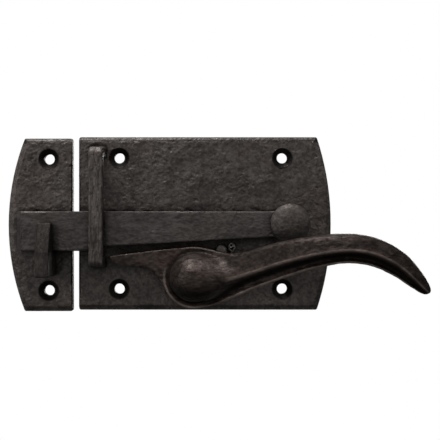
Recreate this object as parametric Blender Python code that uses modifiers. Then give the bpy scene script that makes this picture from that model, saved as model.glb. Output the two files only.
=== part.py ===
"""Toggle bolt latch for a door or gate: a pivoted latch bar, its guide, a lifting lever and a strike.

Frame: origin at the centre of the main plate's back face, +X along the bar towards the lever's tip,
+Z up, and -Y out of the door towards the user. Everything is in metres.
"Forward" is the distance in front of the back face, so y = -forward.
The driving dimensions come first, then the modelling helpers, then one function for each piece.
"""

import math

import bmesh
import bpy
from mathutils import Matrix, Vector

MM = 0.001
GAP = 0.3 * MM  # left between pieces that rest on each other

# ---- Plates -------------------------------------------------------------------------------------
PLATE_THICK = 4.8 * MM
HALF_HEIGHT = 38.1 * MM
CHAMFER_WIDTH = 2.3 * MM
CHAMFER_DEPTH = 1.2 * MM
BACK_EDGE = 0.4 * MM
FLAT_SIDE_EDGE = 0.5 * MM  # the straight sides that face each other have no chamfer
CORNER_RADIUS = 0.9 * MM
INSET_CORNER_RADIUS = 0.4 * MM
STRIKE_DROP = 0.6 * MM  # how much lower than the main plate the strike sits
MAIN_FLAT_X = -55.9 * MM
MAIN_BULGE_X = 55.2 * MM
MAIN_CORNER_X = 49.0 * MM
STRIKE_FLAT_X = -58.7 * MM
STRIKE_BULGE_X = -87.1 * MM
STRIKE_CORNER_X = -79.9 * MM
MAIN_SCREWS = [(x * MM, z * MM) for x in (-38.2, 33.7) for z in (28.9, -28.9)]
STRIKE_SCREWS = [(-69.2 * MM, z * MM - STRIKE_DROP) for z in (29.0, -29.0)]
SCREW_HOLE_R = 2.3 * MM
COUNTERSINK_R = 4.4 * MM

# ---- Latch bar and its pivot ---------------------------------------------------------------------
BAR_PIVOT = (36.7 * MM, 0.0)
BAR_BACK = PLATE_THICK + 1.8 * MM
BAR_THICK = 5.2 * MM
BAR_FRONT = BAR_BACK + BAR_THICK
BAR_LEFT = -82.2 * MM
BAR_TOP = 5.3 * MM
BAR_BOTTOM = -11.9 * MM
BAR_END_CHAMFER = 2.3 * MM
BAR_SHOULDER_X = (-53.0 * MM, -44.0 * MM)
BAR_TAPER = (-10.0 * MM, -5.9 * MM)
BAR_END_R = 5.6 * MM
RIVET_R = 3.0 * MM
RIVET_HEAD_R = 8.6 * MM
RIVET_HEAD_EDGE = 1.5 * MM
RIVET_HEAD_RISE = 3.2 * MM
RIVET_TAIL_R = 4.5 * MM
SPACER_R = 6.2 * MM

# ---- Bar guide -----------------------------------------------------------------------------------
GUIDE_X = -47.0 * MM
GUIDE_WIDTH = 6.2 * MM
GUIDE_FOOT_Z = (-19.8 * MM, 33.7 * MM)
GUIDE_SHOULDER_Z = (-18.5 * MM, 33.0 * MM)
GUIDE_SHOULDER_DEPTH = 1.6 * MM
GUIDE_FRONT_Z = (-16.9 * MM, 30.9 * MM)
GUIDE_INNER_Z = (-14.4 * MM, 28.6 * MM)
GUIDE_INNER_FORWARD = PLATE_THICK + 9.0 * MM
GUIDE_FORWARD = PLATE_THICK + 12.6 * MM
TENON_X = 3.6 * MM
TENON_Z = 3.2 * MM

# ---- Strike hook ---------------------------------------------------------------------------------
HOOK_X = -68.8 * MM
HOOK_WIDTH = 5.8 * MM
HOOK_TIP_Z = 0.4 * MM
HOOK_FOOT_Z = -22.8 * MM
HOOK_NOTCH_FORWARD = PLATE_THICK + 8.0 * MM
HOOK_TIP_FORWARD = PLATE_THICK + 13.9 * MM
HOOK_BELLY = (PLATE_THICK + 19.6 * MM, -12.0 * MM)  # forward and z where the ramp bends
HOOK_RAMP_FORWARD = PLATE_THICK + 21.6 * MM
HOOK_TENON_Z = (-19.6 * MM, -14.2 * MM)
HOOK_TENON_X = 2.6 * MM

# ---- Lever ---------------------------------------------------------------------------------------
LEVER_PIVOT = (-5.0 * MM, -23.5 * MM)
LEVER_BACK = PLATE_THICK + 2.2 * MM
HUB_R = 13.5 * MM
FLANGE_FRONT = PLATE_THICK + 6.6 * MM
FLANGE_EDGE = 0.6 * MM
SPINDLE_R = 4.0 * MM
BOSS_R = 5.2 * MM
CAVITY_R = 9.0 * MM
CAVITY_FRONT = PLATE_THICK + 8.2 * MM
STOP_LUG_R = (11.0 * MM, 17.4 * MM)
STOP_LUG_DEG = (14.0, 35.8)
STOP_LUG_FRONT = PLATE_THICK + 6.0 * MM

# ---- Lever fixings at the back of the plate ------------------------------------------------------
COUNTERBORE_R = 7.2 * MM
COUNTERBORE_DEEP = 2.2 * MM
RETAINER_THICK = 1.1 * MM
RETAINER_BACK = 0.6 * MM
SCREW_HEAD_R = 3.7 * MM
SCREW_R = 2.0 * MM
SCREW_TIP = PLATE_THICK + 3.6 * MM

# ---- Return spring, stop pin and anchor pin ------------------------------------------------------
STOP_PIN = (6.9 * MM, -11.7 * MM)
STOP_PIN_R = 2.3 * MM
STOP_PIN_FORWARD = PLATE_THICK + 4.6 * MM
ANCHOR = (11.5 * MM, -10.4 * MM)
ANCHOR_R = 0.45 * MM
ANCHOR_FORWARD = PLATE_THICK + 2.6 * MM
PIN_SHANK_R = 1.3 * MM
WIRE_R = 0.42 * MM
COIL_R = 7.0 * MM
COIL_TURNS = 3.875
COIL_BACK = PLATE_THICK + 1.2 * MM
COIL_FRONT = PLATE_THICK + 6.9 * MM
EYE_R = 1.2 * MM
EYE_STRETCH = 1.3
MOVING_LEG_R = 10.7 * MM

# The lever's body from the hub's left edge to the tip, in mm: x and z of the section's centre, half
# its width across the lever, the forward distances of its back and front from the plate's face, and
# how far it has turned from the hub's domed section into the grip's ridged one.
LEVER_STATIONS = [
    (-15.3, -23.5, 2.2, 3.6, 9.4, 0.0),
    (-14.3, -23.5, 5.0, 3.2, 13.4, 0.0),
    (-12.2, -23.5, 7.6, 3.2, 16.8, 0.0),
    (-9.0, -23.5, 9.5, 3.2, 19.6, 0.0),
    (-4.8, -23.5, 10.4, 3.2, 21.1, 0.0),
    (0.2, -23.3, 10.8, 3.6, 20.8, 0.1),
    (5.2, -22.8, 11.4, 6.6, 20.0, 0.3),
    (11.2, -21.8, 9.4, 8.6, 20.4, 0.7),
    (20.6, -19.0, 7.9, 12.8, 24.0, 1.0),
    (29.2, -15.9, 7.6, 17.6, 28.4, 1.0),
    (36.8, -13.5, 7.1, 21.6, 32.6, 1.0),
    (44.6, -11.6, 6.6, 24.8, 35.8, 1.0),
    (54.6, -10.1, 6.1, 27.4, 38.2, 1.0),
    (63.4, -10.3, 5.9, 28.6, 39.0, 1.0),
    (71.6, -12.5, 5.6, 28.4, 38.6, 1.0),
    (79.4, -16.8, 5.0, 27.2, 36.6, 1.0),
    (85.4, -22.0, 3.9, 26.0, 34.2, 1.0),
    (89.5, -25.9, 2.8, 25.2, 32.0, 1.0),
    (92.5, -28.4, 1.5, 26.0, 30.4, 1.0),
]
# Section outlines, as (across, forward) from -1 to 1, from the upper edge round by the front.
DOMED_SECTION = [
    (1.0, -0.6),
    (0.96, -0.25),
    (0.8, 0.35),
    (0.46, 0.86),
    (0.0, 1.02),
    (-0.46, 0.86),
    (-0.8, 0.35),
    (-0.96, -0.25),
    (-1.0, -0.6),
    (-1.0, -0.82),
    (-0.85, -1.0),
    (-0.42, -1.0),
    (0.0, -1.0),
    (0.42, -1.0),
    (0.85, -1.0),
    (1.0, -0.82),
]
RIDGED_SECTION = [
    (1.0, 0.0),
    (0.94, 0.42),
    (0.68, 0.74),
    (0.26, 0.94),
    (-0.14, 1.06),
    (-0.34, 0.96),
    (-0.54, 0.44),
    (-0.82, 0.3),
    (-1.03, 0.22),
    (-1.04, -0.14),
    (-0.8, -0.6),
    (-0.42, -0.9),
    (0.0, -1.0),
    (0.42, -0.94),
    (0.76, -0.76),
    (0.96, -0.4),
]

latch = bpy.data.collections.new("toggle_bolt_latch")
cutters = bpy.data.collections.new("cutters")


# ---- Helpers -------------------------------------------------------------------------------------
def clear_scene():
    for obj in list(bpy.data.objects):
        bpy.data.objects.remove(obj)


def add(obj, material=None):
    """Puts a finished piece in the latch's collection and gives it its material."""
    for holder in obj.users_collection:
        holder.objects.unlink(obj)
    latch.objects.link(obj)
    if material is not None:
        obj.data.materials.append(material)
    return obj


def metal(name, colour, roughness, metallic=0.85):
    material = bpy.data.materials.new(name)
    material.use_nodes = True
    shader = material.node_tree.nodes["Principled BSDF"]
    shader.inputs["Base Color"].default_value = (*colour, 1.0)
    shader.inputs["Roughness"].default_value = roughness
    shader.inputs["Metallic"].default_value = metallic
    return material


def boolean(obj, operation, tools):
    """One Boolean with all the tools at once, which is steadier than a chain of single ones."""
    holder = bpy.data.collections.new(f"{obj.name}_{operation.lower()}")
    cutters.children.link(holder)
    for tool in tools:
        for old in tool.users_collection:
            old.objects.unlink(tool)
        holder.objects.link(tool)
        tool.hide_render = True
        tool.display_type = "WIRE"
    modifier = obj.modifiers.new(holder.name, "BOOLEAN")
    modifier.operation = operation
    modifier.operand_type = "COLLECTION"
    modifier.collection = holder


def cut(obj, *tools):
    boolean(obj, "DIFFERENCE", tools)


def join(obj, *tools):
    boolean(obj, "UNION", tools)


def bevel(obj, width, segments=2, angle_deg=35):
    modifier = obj.modifiers.new("bevel", "BEVEL")
    modifier.width = width
    modifier.segments = segments
    modifier.limit_method = "ANGLE"
    modifier.angle_limit = math.radians(angle_deg)
    modifier.use_clamp_overlap = False


def hang_on(obj, axis_empty):
    """Parents a moving piece to the empty on its joint's axis, without moving it."""
    obj.parent = axis_empty
    obj.matrix_parent_inverse = Matrix.Translation(axis_empty.location).inverted()


def mesh_object(name, bm):
    mesh = bpy.data.meshes.new(name)
    bm.to_mesh(mesh)
    bm.free()
    obj = bpy.data.objects.new(name, mesh)
    bpy.context.scene.collection.objects.link(obj)
    return obj


def round_corners(points, radius, sharper_than_deg=25, steps=4):
    """The outline with each real corner replaced by an arc of the given radius."""
    rounded = []
    for i, point in enumerate(points):
        here = Vector(point)
        back = (Vector(points[i - 1]) - here).normalized()
        ahead = (Vector(points[(i + 1) % len(points)]) - here).normalized()
        half = back.angle(ahead) / 2
        if math.pi - 2 * half < math.radians(sharper_than_deg):
            rounded.append(point)
            continue
        centre = here + (back + ahead).normalized() * radius / math.sin(half)
        start = here + back * radius / math.tan(half) - centre
        end = here + ahead * radius / math.tan(half) - centre
        turn = start.angle_signed(end)
        for k in range(steps + 1):
            angle = -turn * k / steps
            spoke = Matrix.Rotation(angle, 2) @ start
            rounded.append(tuple(centre + spoke))
    return rounded


def arc(centre, radius, start_deg, end_deg, steps):
    """Points on a circle in the XZ plane, from start to end, anticlockwise when end is larger."""
    points = []
    for k in range(steps + 1):
        angle = math.radians(start_deg + (end_deg - start_deg) * k / steps)
        points.append((centre[0] + radius * math.cos(angle), centre[1] + radius * math.sin(angle)))
    return points


def extruded(name, outline, near, far, plane="XZ"):
    """A flat outline made solid.

    Plane XZ: points are (x, z) and near and far are forward distances of its back and front.
    Plane YZ: points are (forward, z) and near and far are its lowest and highest x.
    """
    curve = bpy.data.curves.new(name, "CURVE")
    curve.dimensions = "2D"
    curve.fill_mode = "BOTH"
    curve.extrude = (far - near) / 2
    spline = curve.splines.new("POLY")
    spline.points.add(len(outline) - 1)
    for point, place in zip(spline.points, outline):
        point.co = (place[0], place[1], 0, 1)
    spline.use_cyclic_u = True
    middle = (near + far) / 2
    if plane == "XZ":
        stand = Matrix(((1, 0, 0, 0), (0, 0, -1, -middle), (0, 1, 0, 0), (0, 0, 0, 1)))
    else:
        stand = Matrix(((0, 0, -1, middle), (-1, 0, 0, 0), (0, 1, 0, 0), (0, 0, 0, 1)))
    guide = bpy.data.objects.new(name + "_curve", curve)
    bpy.context.scene.collection.objects.link(guide)
    bpy.context.view_layer.update()
    mesh = bpy.data.meshes.new_from_object(guide.evaluated_get(bpy.context.evaluated_depsgraph_get()))
    bpy.data.objects.remove(guide)
    bm = bmesh.new()
    bm.from_mesh(mesh)
    bmesh.ops.remove_doubles(bm, verts=bm.verts, dist=0.01 * MM)
    bmesh.ops.recalc_face_normals(bm, faces=bm.faces)
    bm.normal_update()
    flat = [edge for edge in bm.edges if all(abs(face.normal.z) > 0.999 for face in edge.link_faces)]
    bmesh.ops.dissolve_edges(bm, edges=flat, use_verts=False)
    bm.transform(stand)
    bmesh.ops.recalc_face_normals(bm, faces=bm.faces)
    bpy.data.meshes.remove(mesh)
    return mesh_object(name, bm)


def box(name, low, high):
    """A block between two corners, given as (x, forward, z)."""
    bm = bmesh.new()
    bmesh.ops.create_cube(bm, size=1.0)
    size = [high[i] - low[i] for i in range(3)]
    middle = [(high[i] + low[i]) / 2 for i in range(3)]
    bmesh.ops.scale(bm, vec=size, verts=bm.verts)
    bmesh.ops.translate(bm, vec=(middle[0], -middle[1], middle[2]), verts=bm.verts)
    return mesh_object(name, bm)


def lofted(name, rings):
    """A solid through rings of points, closed at both ends. Every ring has the same number of points."""
    bm = bmesh.new()
    loops = [[bm.verts.new(point) for point in ring] for ring in rings]
    count = len(rings[0])
    for loop, following in zip(loops, loops[1:]):
        for k in range(count):
            bm.faces.new((loop[k], loop[(k + 1) % count], following[(k + 1) % count], following[k]))
    bm.faces.new(loops[0])
    bm.faces.new(loops[-1])
    bmesh.ops.recalc_face_normals(bm, faces=bm.faces)
    return mesh_object(name, bm)


def turned(name, profile, place, segments=32, closed=False):
    """A turned piece on an axis along Y. The profile is (radius, forward), front to back."""
    mesh = bpy.data.meshes.new(name)
    edges = [(i, i + 1) for i in range(len(profile) - 1)]
    if closed:
        edges.append((len(profile) - 1, 0))
    mesh.from_pydata([(radius, 0, forward) for radius, forward in profile], edges, [])
    obj = bpy.data.objects.new(name, mesh)
    bpy.context.scene.collection.objects.link(obj)
    obj.location = (place[0], 0, place[1])
    obj.rotation_euler = (math.radians(90), 0, 0)
    screw = obj.modifiers.new("screw", "SCREW")
    screw.steps = segments
    screw.render_steps = segments
    screw.use_merge_vertices = True
    screw.merge_threshold = 0.00001
    return obj


def washer(name, place, inner, outer, back, front):
    """A flat ring between two forward distances."""
    ring = [(inner, front), (outer, front), (outer, back), (inner, back)]
    return turned(name, ring, place, closed=True)


# ---- Plates --------------------------------------------------------------------------------------
def bulged_outline(flat_x, bulge_x, corner_x, inset=0.0, flat_inset=0.0):
    """A plate with one straight side and one side bowed outwards in a single arc."""
    sagitta = bulge_x - corner_x
    radius = (sagitta**2 + HALF_HEIGHT**2) / (2 * abs(sagitta))
    side = math.copysign(1, sagitta)
    centre_x = bulge_x - side * radius
    half_height = HALF_HEIGHT - inset
    half_angle = math.degrees(math.asin(half_height / (radius - inset)))
    bow = arc((0, 0), radius - inset, -half_angle, half_angle, 18)
    outline = [(centre_x + side * x, z) for x, z in bow]
    outline += [(flat_x + side * flat_inset, half_height), (flat_x + side * flat_inset, -half_height)]
    return round_corners(outline, max(CORNER_RADIUS - inset, INSET_CORNER_RADIUS))


def blank_plate(name, flat_x, bulge_x, corner_x, drop=0.0):
    """A plate without its holes, chamfered at the front except along its straight side."""
    partway = CHAMFER_WIDTH * (1 - FLAT_SIDE_EDGE / CHAMFER_DEPTH)
    levels = [
        (BACK_EDGE, BACK_EDGE, 0),
        (0, 0, BACK_EDGE),
        (0, 0, PLATE_THICK - CHAMFER_DEPTH),
        (partway, 0, PLATE_THICK - FLAT_SIDE_EDGE),
        (CHAMFER_WIDTH, FLAT_SIDE_EDGE, PLATE_THICK),
    ]
    rings = []
    for inset, flat_inset, forward in levels:
        outline = bulged_outline(flat_x, bulge_x, corner_x, inset, flat_inset)
        rings.append([(x, -forward, z - drop) for x, z in outline])
    return lofted(name, rings)


def screw_hole(name, place):
    """Cutter for one countersunk wood-screw hole."""
    over = 1 * MM
    straight = PLATE_THICK - (COUNTERSINK_R - SCREW_HOLE_R)
    profile = [
        (0, PLATE_THICK + over),
        (COUNTERSINK_R + over, PLATE_THICK + over),
        (SCREW_HOLE_R, straight),
        (SCREW_HOLE_R, -over),
        (0, -over),
    ]
    return turned(name, profile, place, segments=28)


def through_hole(name, place, radius, segments=32):
    over = 1 * MM
    profile = [(0, PLATE_THICK + over), (radius, PLATE_THICK + over), (radius, -over), (0, -over)]
    return turned(name, profile, place, segments=segments)


def tenon_slot(name, x, z, width, height):
    over = 1 * MM
    low = (x - width / 2 - GAP, -over, z - height / 2 - GAP)
    high = (x + width / 2 + GAP, PLATE_THICK + over, z + height / 2 + GAP)
    return box(name, low, high)


def guide_tenon_places():
    """Height of the middle of each of the guide's two tenons."""
    lower = (GUIDE_FOOT_Z[0] + GUIDE_INNER_Z[0]) / 2
    upper = (GUIDE_FOOT_Z[1] + GUIDE_INNER_Z[1]) / 2
    return [("lower", lower), ("upper", upper)]


def main_plate(material):
    plate = blank_plate("main_plate", MAIN_FLAT_X, MAIN_BULGE_X, MAIN_CORNER_X)
    holes = [screw_hole(f"main_screw_hole_{i + 1}", place) for i, place in enumerate(MAIN_SCREWS)]
    for name, z in guide_tenon_places():
        holes.append(tenon_slot(f"guide_slot_{name}", GUIDE_X, z, TENON_X, TENON_Z))
    holes.append(rivet_hole())
    holes.append(spindle_bore())
    holes.append(through_hole("stop_pin_hole", STOP_PIN, PIN_SHANK_R + 0.1 * MM, 20))
    holes.append(through_hole("anchor_pin_hole", ANCHOR, ANCHOR_R + 0.1 * MM, 16))
    cut(plate, *holes)
    return add(plate, material)


def spindle_bore():
    """Cutter for the lever's bearing hole, counterbored at the back for its retaining washer."""
    over = 1 * MM
    bore = SPINDLE_R + 0.1 * MM
    profile = [
        (0, PLATE_THICK + over),
        (bore, PLATE_THICK + over),
        (bore, COUNTERBORE_DEEP),
        (COUNTERBORE_R, COUNTERBORE_DEEP),
        (COUNTERBORE_R, -over),
        (0, -over),
    ]
    return turned("spindle_bore", profile, LEVER_PIVOT)


def rivet_hole():
    """Cutter for the bar pivot's hole, opened out at the back for the rivet's headed-over tail."""
    over = 1 * MM
    hole = RIVET_R + 0.1 * MM
    tail = RIVET_TAIL_R + 0.1 * MM
    profile = [
        (0, PLATE_THICK + over),
        (hole, PLATE_THICK + over),
        (hole, GAP + tail - hole),
        (tail + GAP + over, -over),
        (0, -over),
    ]
    return turned("bar_rivet_hole", profile, BAR_PIVOT)


def strike_plate(material):
    plate = blank_plate("strike_plate", STRIKE_FLAT_X, STRIKE_BULGE_X, STRIKE_CORNER_X, STRIKE_DROP)
    holes = [screw_hole(f"strike_screw_hole_{i + 1}", place) for i, place in enumerate(STRIKE_SCREWS)]
    height = HOOK_TENON_Z[1] - HOOK_TENON_Z[0]
    middle = sum(HOOK_TENON_Z) / 2
    holes.append(tenon_slot("hook_slot", HOOK_X, middle, HOOK_TENON_X, height))
    cut(plate, *holes)
    return add(plate, material)


# ---- Guide and hook ------------------------------------------------------------------------------
def tenon(name, x, z, width, height, front):
    low = (x - width / 2, GAP, z - height / 2)
    high = (x + width / 2, front, z + height / 2)
    return box(name, low, high)


def bar_guide(material):
    """The staple that the bar slides up and down in, with a tenon through the plate at each end."""
    foot = PLATE_THICK + GAP
    shoulder = GUIDE_FORWARD - GUIDE_SHOULDER_DEPTH
    outline = [
        (foot, GUIDE_FOOT_Z[0]),
        (shoulder, GUIDE_SHOULDER_Z[0]),
        (GUIDE_FORWARD, GUIDE_FRONT_Z[0]),
        (GUIDE_FORWARD, GUIDE_FRONT_Z[1]),
        (shoulder, GUIDE_SHOULDER_Z[1]),
        (foot, GUIDE_FOOT_Z[1]),
        (foot, GUIDE_INNER_Z[1]),
        (GUIDE_INNER_FORWARD, GUIDE_INNER_Z[1]),
        (GUIDE_INNER_FORWARD, GUIDE_INNER_Z[0]),
        (foot, GUIDE_INNER_Z[0]),
    ]
    guide = extruded("bar_guide", outline, GUIDE_X - GUIDE_WIDTH / 2, GUIDE_X + GUIDE_WIDTH / 2, "YZ")
    bevel(guide, 0.6 * MM)
    tenons = [
        tenon(f"guide_tenon_{name}", GUIDE_X, z, TENON_X, TENON_Z, foot + MM)
        for name, z in guide_tenon_places()
    ]
    join(guide, *tenons)
    return add(guide, material)


def strike_hook(material):
    """The catch: a ramp that lifts the bar as the door shuts, and a notch that then holds it."""
    foot = PLATE_THICK + GAP
    notch = BAR_BOTTOM - GAP
    outline = [
        (foot, HOOK_FOOT_Z),
        (HOOK_RAMP_FORWARD, HOOK_FOOT_Z),
        (HOOK_RAMP_FORWARD, HOOK_FOOT_Z + 1.6 * MM),
        HOOK_BELLY,
        (HOOK_TIP_FORWARD, HOOK_TIP_Z),
        (HOOK_NOTCH_FORWARD, HOOK_TIP_Z),
        (HOOK_NOTCH_FORWARD, notch),
        (foot, notch),
    ]
    hook = extruded("strike_hook", outline, HOOK_X - HOOK_WIDTH / 2, HOOK_X + HOOK_WIDTH / 2, "YZ")
    bevel(hook, 0.5 * MM)
    height = HOOK_TENON_Z[1] - HOOK_TENON_Z[0]
    middle = sum(HOOK_TENON_Z) / 2
    join(hook, tenon("hook_tenon", HOOK_X, middle, HOOK_TENON_X, height, foot + MM))
    return add(hook, material)


# ---- Latch bar -----------------------------------------------------------------------------------
def bar_outline():
    """Full depth where it meets the strike, a soft shoulder under the guide, then a taper to the pivot."""
    shoulder_left, shoulder_right = BAR_SHOULDER_X
    end_x = BAR_PIVOT[0]
    outline = [(BAR_LEFT, BAR_BOTTOM)]
    for k in range(7):
        share = k / 6
        ease = share * share * (3 - 2 * share)
        x = shoulder_left + (shoulder_right - shoulder_left) * share
        outline.append((x, BAR_BOTTOM + (BAR_TAPER[0] - BAR_BOTTOM) * ease))
    outline.append((end_x - 7.7 * MM, BAR_TAPER[1]))
    outline += arc((end_x, 0), BAR_END_R, -100, 90, 16)
    outline += [(end_x - 10 * MM, BAR_TOP), (BAR_LEFT, BAR_TOP)]
    return outline


def bar_end_chamfer():
    """Cutter that slopes the front of the bar's free end."""
    reach = 3 * BAR_END_CHAMFER
    low = (-reach, 0, -2 * reach)
    high = (reach, reach, 3 * reach)
    cutter = box("bar_end_chamfer", low, high)
    cutter.rotation_euler = (0, 0, math.radians(-45))
    corner = BAR_FRONT - BAR_END_CHAMFER
    cutter.location = (BAR_LEFT, -corner, 0)
    return cutter


def latch_bar(material, axis_empty):
    bar = extruded("latch_bar", bar_outline(), BAR_BACK, BAR_FRONT)
    bevel(bar, 0.6 * MM)
    radius = RIVET_R + 0.1 * MM
    front = BAR_FRONT + MM
    back = BAR_BACK - MM
    hole = turned("bar_hole", [(0, front), (radius, front), (radius, back), (0, back)], BAR_PIVOT)
    cut(bar, hole, bar_end_chamfer())
    hang_on(bar, axis_empty)
    return add(bar, material)


def bar_pivot_rivet(material):
    """Domed rivet that the bar turns on, with its tail headed over into the back of the plate."""
    under = BAR_FRONT + GAP
    edge = under + RIVET_HEAD_EDGE
    dome_radius = (RIVET_HEAD_R**2 + RIVET_HEAD_RISE**2) / (2 * RIVET_HEAD_RISE)
    sweep = math.asin(RIVET_HEAD_R / dome_radius)
    profile = []
    for k in range(7):
        angle = sweep * k / 6
        drop = dome_radius * (1 - math.cos(angle))
        profile.append((dome_radius * math.sin(angle), edge + RIVET_HEAD_RISE - drop))
    profile += [
        (RIVET_HEAD_R, under),
        (RIVET_R, under),
        (RIVET_R, GAP + RIVET_TAIL_R - RIVET_R),
        (RIVET_TAIL_R, GAP),
        (0, GAP),
    ]
    return add(turned("bar_pivot_rivet", profile, BAR_PIVOT, segments=48), material)


def bar_spacer_washer(material):
    inner = RIVET_R + 0.15 * MM
    ring = washer("bar_spacer_washer", BAR_PIVOT, inner, SPACER_R, PLATE_THICK + GAP, BAR_BACK - GAP)
    return add(ring, material)


# ---- Lever ---------------------------------------------------------------------------------------
def lever_sections():
    """The lever body's rings of points: each section lies across the line through its neighbours."""
    rings = []
    for i, (x, z, half, back, front, grip) in enumerate(LEVER_STATIONS):
        before = LEVER_STATIONS[max(i - 1, 0)]
        after = LEVER_STATIONS[min(i + 1, len(LEVER_STATIONS) - 1)]
        along = Vector((after[0] - before[0], 0, after[1] - before[1])).normalized()
        across = Vector((-along.z, 0, along.x))
        centre = Vector((x, -(back + front) / 2, z))
        ring = []
        for domed, ridged in zip(DOMED_SECTION, RIDGED_SECTION):
            side = domed[0] + (ridged[0] - domed[0]) * grip
            out = domed[1] + (ridged[1] - domed[1]) * grip
            point = centre + across * side * half + Vector((0, -out * (front - back) / 2, 0))
            ring.append(point * MM + Vector((0, -PLATE_THICK, 0)))
        rings.append(ring)
    return rings


def lever_body():
    """The hub's dome, neck and curved grip as one loft."""
    body = lofted("lever", lever_sections())
    smooth = body.modifiers.new("smooth", "SUBSURF")
    smooth.levels = 1
    smooth.render_levels = 1
    return body


def flange_outline():
    """The hub's flat round flange with the lifting tab that reaches left under the bar."""
    x, z = LEVER_PIVOT
    outline = arc((x, z), HUB_R, -162, 88, 30)
    outline += [
        (x - 12 * MM, z + 12.4 * MM),
        (x - 34.6 * MM, z + 9.7 * MM),
        (x - 36.4 * MM, z + 9.2 * MM),
        (x - 36.3 * MM, z + 8.4 * MM),
        (x - 35.0 * MM, z + 6.9 * MM),
        (x - 32.6 * MM, z + 5.6 * MM),
        (x - 29.8 * MM, z + 5.1 * MM),
        (x - 22.6 * MM, z + 4.9 * MM),
        (x - 19.6 * MM, z + 4.2 * MM),
        (x - 17.2 * MM, z + 2.6 * MM),
        (x - 15.3 * MM, z + 0.2 * MM),
        (x - 13.9 * MM, z - 2.5 * MM),
    ]
    return outline


def stop_lug():
    """Lug on the hub's edge that rests against the stop pin when the lever is up."""
    low, high = STOP_LUG_DEG
    outer = arc(LEVER_PIVOT, STOP_LUG_R[1], low, high, 6)
    inner = arc(LEVER_PIVOT, STOP_LUG_R[0], high, low, 6)
    return extruded("stop_lug", outer + inner, LEVER_BACK + GAP, STOP_LUG_FRONT)


def spring_cavity():
    """Ring-shaped pocket in the back of the hub, round the boss, that holds the spring's coil."""
    over = 1 * MM
    back = LEVER_BACK - over
    ring = [(BOSS_R, CAVITY_FRONT), (CAVITY_R, CAVITY_FRONT), (CAVITY_R, back), (BOSS_R, back)]
    return turned("spring_cavity", ring, LEVER_PIVOT, segments=36, closed=True)


def leg_notch():
    """Slot in the cavity's wall that the spring's moving leg pushes against."""
    angle = math.radians(moving_leg_deg())
    half = WIRE_R + GAP
    bm = bmesh.new()
    bmesh.ops.create_cube(bm, size=1.0)
    reach = MOVING_LEG_R + GAP - (CAVITY_R - MM)
    top = COIL_FRONT + half
    bmesh.ops.scale(bm, vec=(reach, top - LEVER_BACK + 1 * MM, 2 * half), verts=bm.verts)
    middle = -(top + LEVER_BACK - 1 * MM) / 2
    bmesh.ops.translate(bm, vec=((MOVING_LEG_R + GAP + CAVITY_R - MM) / 2, middle, 0), verts=bm.verts)
    bmesh.ops.rotate(bm, matrix=Matrix.Rotation(-angle, 3, "Y"), verts=bm.verts)
    bmesh.ops.translate(bm, vec=(LEVER_PIVOT[0], 0, LEVER_PIVOT[1]), verts=bm.verts)
    return mesh_object("leg_notch", bm)


def lever(material, axis_empty):
    """One casting: flange and lifting tab, domed hub, curved grip, and the spindle it turns on."""
    piece = lever_body()
    flange = extruded("lever_flange", flange_outline(), LEVER_BACK, FLANGE_FRONT)
    bevel(flange, FLANGE_EDGE)
    spindle_end = COUNTERBORE_DEEP - 0.2 * MM
    top = CAVITY_FRONT + MM
    spindle = [(0, top), (SPINDLE_R, top), (SPINDLE_R, spindle_end), (0, spindle_end)]
    join(piece, flange, stop_lug(), turned("lever_spindle", spindle, LEVER_PIVOT))
    hole_r = SCREW_R + 0.1 * MM
    tapped = [(0, SCREW_TIP + GAP), (hole_r, SCREW_TIP + GAP), (hole_r, 0), (0, 0)]
    tapped_hole = turned("lever_tapped_hole", tapped, LEVER_PIVOT, segments=20)
    cut(piece, spring_cavity(), leg_notch(), tapped_hole)
    hang_on(piece, axis_empty)
    return add(piece, material)


def lever_thrust_washer(material):
    """Stands the lever off the plate and takes the rubbing of its boss."""
    inner = SPINDLE_R + 0.1 * MM
    ring = washer("lever_thrust_washer", LEVER_PIVOT, inner, BOSS_R, PLATE_THICK + GAP, LEVER_BACK - GAP)
    return add(ring, material)


def screw_cone_r(forward):
    """Radius of the retaining screw's countersunk head at a forward distance."""
    return SCREW_HEAD_R - (forward - GAP)


def lever_retaining_washer(material, axis_empty):
    """Dished washer in the plate's counterbore that the retaining screw's head sinks into."""
    back = RETAINER_BACK
    front = back + RETAINER_THICK
    clear = 0.15 * MM
    ring = [
        (screw_cone_r(front) + clear, front),
        (COUNTERBORE_R - GAP, front),
        (COUNTERBORE_R - GAP, back),
        (screw_cone_r(back) + clear, back),
    ]
    piece = turned("lever_retaining_washer", ring, LEVER_PIVOT, closed=True)
    hang_on(piece, axis_empty)
    return add(piece, material)


def lever_retaining_screw(material, axis_empty):
    """Countersunk screw into the end of the spindle, with a straight slot in its head."""
    neck = GAP + SCREW_HEAD_R - SCREW_R
    profile = [
        (0, SCREW_TIP),
        (SCREW_R - 0.3 * MM, SCREW_TIP),
        (SCREW_R, SCREW_TIP - 0.5 * MM),
        (SCREW_R, neck),
        (SCREW_HEAD_R, GAP),
        (0, GAP),
    ]
    piece = turned("lever_retaining_screw", profile, LEVER_PIVOT, segments=20)
    slot_low = (LEVER_PIVOT[0] - 5 * MM, -MM, LEVER_PIVOT[1] - 0.45 * MM)
    slot_high = (LEVER_PIVOT[0] + 5 * MM, 1.2 * MM, LEVER_PIVOT[1] + 0.45 * MM)
    cut(piece, box("screw_slot", slot_low, slot_high))
    hang_on(piece, axis_empty)
    return add(piece, material)


# ---- Return spring and its pins ------------------------------------------------------------------
def fixed_leg_deg():
    """Angle round the lever's pivot at which the fixed leg leaves the coil, towards the anchor's far side."""
    across = Vector((ANCHOR[0] - LEVER_PIVOT[0], ANCHOR[1] - LEVER_PIVOT[1]))
    toward = math.degrees(math.atan2(across.y, across.x))
    return toward - math.degrees(math.acos((COIL_R - EYE_R) / across.length))


def moving_leg_deg():
    return fixed_leg_deg() - 360 * COIL_TURNS


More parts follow.
